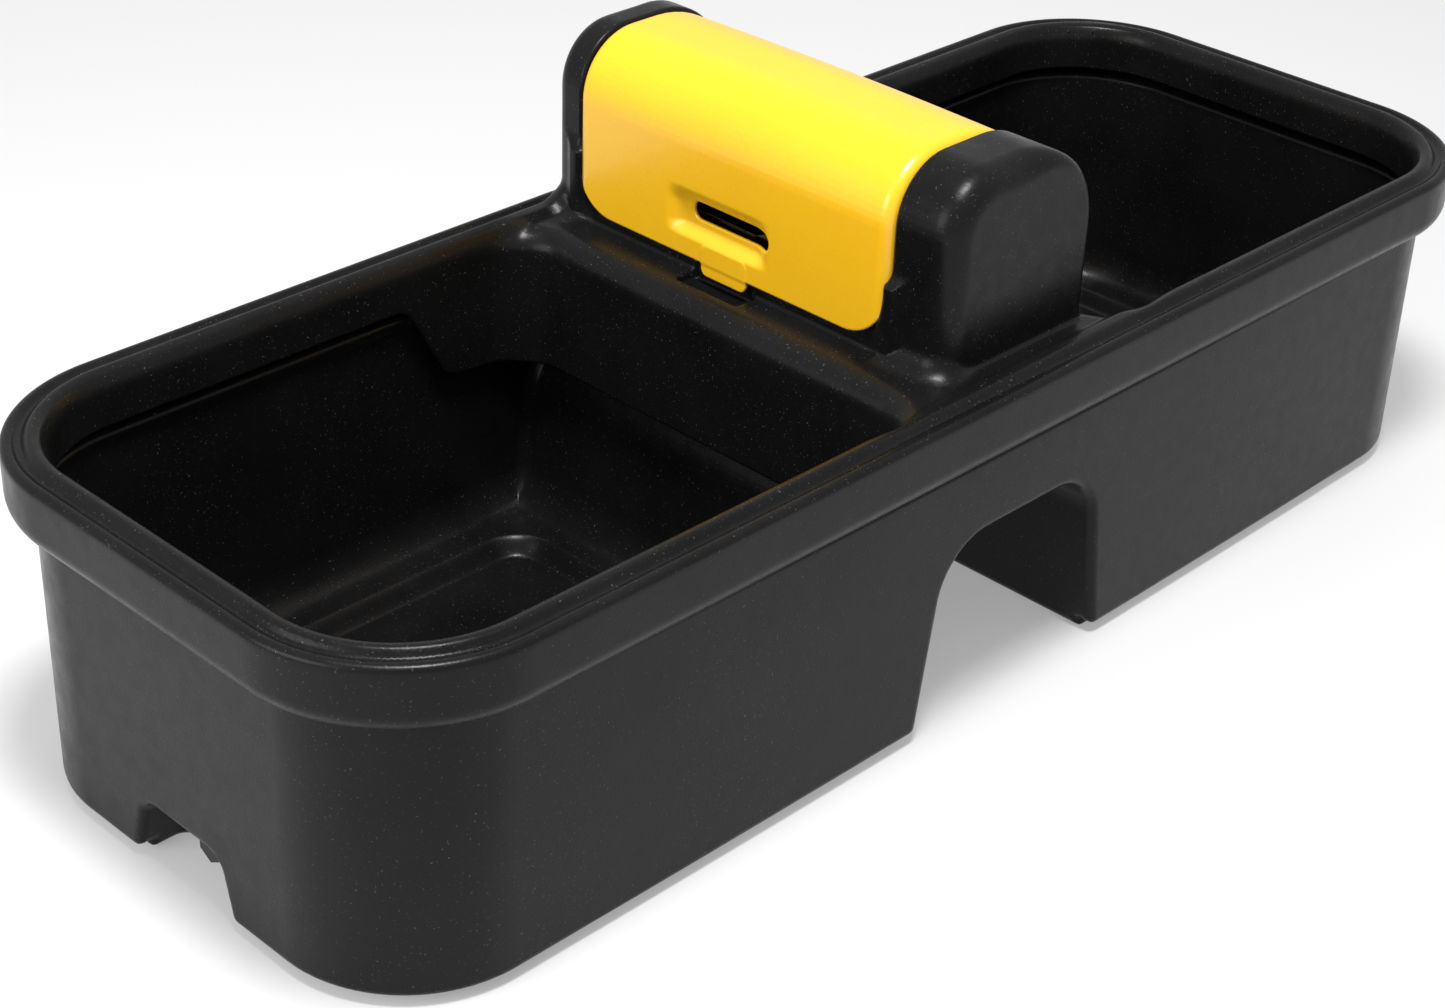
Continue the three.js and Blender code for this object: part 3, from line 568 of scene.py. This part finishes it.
cover_shape = crown_section(COVER_X, COVER_CREST, COVER_CROWN)


def finger_dish(y, z):
    """How far the cover's front is pressed in round the finger slot."""
    dish = DISH_DEPTH * smooth_step(-slab(y, *DISH_Y), *DISH_SIDE)
    return dish * smooth_step(z, *DISH_FOOT) * smooth_step(-z, -DISH_HEAD[1], -DISH_HEAD[0])


def finger_slot(x, y, z):
    radius = (SLOT_Z[1] - SLOT_Z[0]) / 2
    along = np.maximum(slab(y, SLOT_Y[0] + radius, SLOT_Y[1] - radius), 0)
    return np.maximum(np.hypot(along, z - sum(SLOT_Z) / 2) - radius, x)


def cover_field(x, y, z):
    middle, half = sum(COVER_Y) / 2, (COVER_Y[1] - COVER_Y[0]) / 2
    lift = COVER_DOME * (1 - ((y - middle) / half) ** 2) * smooth_step(z, *DOME_CHANGE)
    profile = cover_shape(x - np.where(x < 0, finger_dish(y, z), 0), z - lift)
    block = both(profile, slab(y, *COVER_Y), COVER_EDGE)
    shell = np.maximum(block, -(block + COVER_WALL))
    lower_edge = np.where(x < 0, cover_front_outline(y, z), COVER_REAR_BOTTOM - z)
    shell = both(shell, lower_edge, 1.2)
    shell = less(shell, finger_slot(x, y, z), 1.5)
    tab = both(slab(y, *TAB_Y), slab(z, TAB_BOTTOM, COVER_BOTTOM + 18), 7)
    tab = both(tab, slab(x, COVER_X[0], COVER_X[0] + COVER_WALL), 1.2)
    shell = either(shell, tab, 2)
    eye = np.hypot(x - HINGE[0], z - HINGE[1]) - LUG_RADIUS
    strap_z = slab(z, HINGE[1] - 7, HINGE[1] + LUG_RADIUS)
    strap = both(slab(x, HINGE[0], COVER_X[1] - 1), strap_z, 1)
    lug_middle = half - LUG_INSET - LUG_WIDTH / 2
    lug = np.abs(np.abs(y - middle) - lug_middle) - LUG_WIDTH / 2
    lug = both(np.minimum(eye, strap), lug, 0.8)
    shell = either(shell, lug, 2)
    return less(shell, eye + LUG_RADIUS - PIN_HOLE, 0.6)


cover = build(
    "cover_moulding", cover_field,
    (COVER_X[0] - 4, COVER_Y[0] - 4, TAB_BOTTOM - 4), (COVER_X[1] + 4, COVER_Y[1] + 4, GRID_TOP),
    1.6, 90000,
)

# ---- Materials ----


def new_material(name, color, roughness, metallic=0.0):
    material = bpy.data.materials.new(name)
    material.use_nodes = True
    shader = material.node_tree.nodes["Principled BSDF"]
    shader.inputs["Base Color"].default_value = (*color, 1)
    shader.inputs["Roughness"].default_value = roughness
    shader.inputs["Metallic"].default_value = metallic
    return material, material.node_tree, shader


def noise(tree, scale, detail=2.0):
    """Noise in the piece's own coordinates, with the scale counted per metre."""
    place = tree.nodes.get("place") or tree.nodes.new("ShaderNodeTexCoord")
    place.name = "place"
    node = tree.nodes.new("ShaderNodeTexNoise")
    node.inputs["Scale"].default_value = scale
    node.inputs["Detail"].default_value = detail
    tree.links.new(place.outputs["Object"], node.inputs["Vector"])
    return node.outputs["Fac"]


def ramp(tree, source, low, high, start=0.0, end=1.0):
    """Takes the source's range from low to high onto start to end."""
    node = tree.nodes.new("ShaderNodeMapRange")
    for key, value in (("From Min", low), ("From Max", high), ("To Min", start), ("To Max", end)):
        node.inputs[key].default_value = value
    tree.links.new(source, node.inputs["Value"])
    return node.outputs["Result"]


def bump(tree, shader, source, strength, distance):
    """Adds a layer of bump on top of those already there."""
    node = tree.nodes.new("ShaderNodeBump")
    node.inputs["Strength"].default_value = strength
    node.inputs["Distance"].default_value = distance
    tree.links.new(source, node.inputs["Height"])
    previous = shader.inputs["Normal"].links
    if previous:
        tree.links.new(previous[0].from_socket, node.inputs["Normal"])
    tree.links.new(node.outputs["Normal"], shader.inputs["Normal"])


def blend_colors(tree, factor, one, two):
    node = tree.nodes.new("ShaderNodeMix")
    node.data_type = "RGBA"
    tree.links.new(factor, node.inputs["Factor"])
    node.inputs["A"].default_value = (*one, 1)
    node.inputs["B"].default_value = (*two, 1)
    return node.outputs["Result"]


def black_polyethylene():
    material, tree, shader = new_material("black polyethylene", (0.004, 0.004, 0.004), 0.3)
    shader.inputs["Specular IOR Level"].default_value = 0.17
    cloud = noise(tree, 9, 4)
    cloud = ramp(tree, cloud, 0.35, 0.65)
    tint = blend_colors(tree, cloud, (0.0045, 0.0045, 0.0046), (0.0070, 0.0070, 0.0071))
    specks = ramp(tree, noise(tree, 520, 1), 0.70, 0.78)
    color = tree.nodes.new("ShaderNodeMix")
    color.data_type = "RGBA"
    tree.links.new(specks, color.inputs["Factor"])
    tree.links.new(tint, color.inputs["A"])
    color.inputs["B"].default_value = (0.07, 0.07, 0.072, 1)
    tree.links.new(color.outputs["Result"], shader.inputs["Base Color"])
    tree.links.new(ramp(tree, noise(tree, 60, 3), 0.3, 0.7, 0.25, 0.36), shader.inputs["Roughness"])
    bump(tree, shader, noise(tree, 420, 2), 0.22, 0.0005)
    bump(tree, shader, noise(tree, 26, 2), 0.10, 0.0012)
    return material


def yellow_plastic():
    material, tree, shader = new_material("yellow plastic", (0.90, 0.50, 0.011), 0.3)
    cloud = ramp(tree, noise(tree, 7, 3), 0.3, 0.7)
    tint = blend_colors(tree, cloud, (0.89, 0.485, 0.010), (0.92, 0.515, 0.012))
    tree.links.new(tint, shader.inputs["Base Color"])
    tree.links.new(ramp(tree, noise(tree, 90, 3), 0.3, 0.7, 0.24, 0.36), shader.inputs["Roughness"])
    shader.inputs["Coat Weight"].default_value = 0.25
    shader.inputs["Coat Roughness"].default_value = 0.2
    bump(tree, shader, noise(tree, 120, 2), 0.05, 0.0005)
    return material


def metal(name, color, roughness):
    material, tree, shader = new_material(name, color, roughness, 1.0)
    dark = tuple(0.7 * c for c in color)
    tint = blend_colors(tree, ramp(tree, noise(tree, 60, 4), 0.35, 0.7), color, dark)
    tree.links.new(tint, shader.inputs["Base Color"])
    tree.links.new(
        ramp(tree, noise(tree, 200, 3), 0.3, 0.7, roughness - 0.08, roughness + 0.1),
        shader.inputs["Roughness"],
    )
    bump(tree, shader, noise(tree, 900, 2), 0.15, 0.0002)
    return material


def plain_plastic(name, color, roughness):
    material, tree, shader = new_material(name, color, roughness)
    dark = tuple(0.8 * c for c in color)
    tint = blend_colors(tree, ramp(tree, noise(tree, 50, 3), 0.3, 0.7), color, dark)
    tree.links.new(tint, shader.inputs["Base Color"])
    bump(tree, shader, noise(tree, 700, 2), 0.2, 0.0003)
    return material


polyethylene = black_polyethylene()
yellow = yellow_plastic()
brass = metal("brass", (0.72, 0.50, 0.20), 0.32)
steel = metal("stainless", (0.62, 0.62, 0.61), 0.28)
nylon = plain_plastic("nylon", (0.80, 0.79, 0.74), 0.45)
rubber = plain_plastic("rubber", (0.018, 0.018, 0.018), 0.75)
orange = plain_plastic("float plastic", (0.75, 0.12, 0.02), 0.4)
plug_plastic = plain_plastic("plug plastic", (0.016, 0.016, 0.017), 0.5)

SLOT_MATERIALS = {
    "black_polyethylene": polyethylene, "yellow_plastic": yellow, "brass": brass,
    "stainless": steel, "white_nylon": nylon, "rubber": rubber, "float_plastic": orange,
    "plug_plastic": plug_plastic,
}
NODE_SLOTS = {part["node"]: part["material_slot"] for part in frame["record"]["subparts"]}


def give_material(piece, material):
    piece.data.materials.clear()
    piece.data.materials.append(material)


for node, piece in frame["nodes"].items():
    give_material(piece, SLOT_MATERIALS[NODE_SLOTS[node]])


def stand_for(piece, node, body_name):
    """Puts a modelled piece on its body in place of the CAD node."""
    give_material(piece, SLOT_MATERIALS[NODE_SLOTS[node]])
    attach(piece, body_name)
    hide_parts(node)


stand_for(body, "trough_body", "trough")
stand_for(cover, "valve_cover", "cover")

# ---- Stage ----


FLOOR_REACH, FLOOR_DROP = 12, 0.0005


def make_floor():
    mesh = bpy.data.meshes.new("floor")
    signs = [(-1, -1), (1, -1), (1, 1), (-1, 1)]
    corners = [(FLOOR_REACH * a, FLOOR_REACH * b, 0) for a, b in signs]
    mesh.from_pydata(corners, [], [(0, 1, 2, 3)])
    floor = bpy.data.objects.new("floor", mesh)
    bpy.context.collection.objects.link(floor)
    floor.location.z = -FLOOR_DROP
    material, _, shader = new_material("floor", (0.5, 0.5, 0.5), 0.8)
    shader.inputs["Emission Color"].default_value = (1, 1, 1, 1)
    shader.inputs["Emission Strength"].default_value = 0.3
    mesh.materials.append(material)


def soft_light(name, place, target, size, power):
    data = bpy.data.lights.new(name, "AREA")
    data.shape, data.size, data.size_y, data.energy = "RECTANGLE", size[0], size[1], power
    light = bpy.data.objects.new(name, data)
    light.location = place
    direction = Vector(target) - Vector(place)
    light.rotation_euler = direction.to_track_quat("-Z", "Y").to_euler()
    bpy.context.collection.objects.link(light)


def make_world():
    world = bpy.data.worlds.new("studio")
    world.use_nodes = True
    background = world.node_tree.nodes["Background"]
    background.inputs["Color"].default_value = (1, 1, 1, 1)
    background.inputs["Strength"].default_value = 0.6
    bpy.context.scene.world = world


make_floor()
make_world()
soft_light("key", (-0.70, -0.62, 3.2), (0, 0, 0.2), (0.7, 0.7), 115)
soft_light("fill", (-2.6, 0.3, 1.2), (0, 0, 0.35), (1.6, 1.2), 25)
bpy.context.scene.view_settings.view_transform = "Standard"
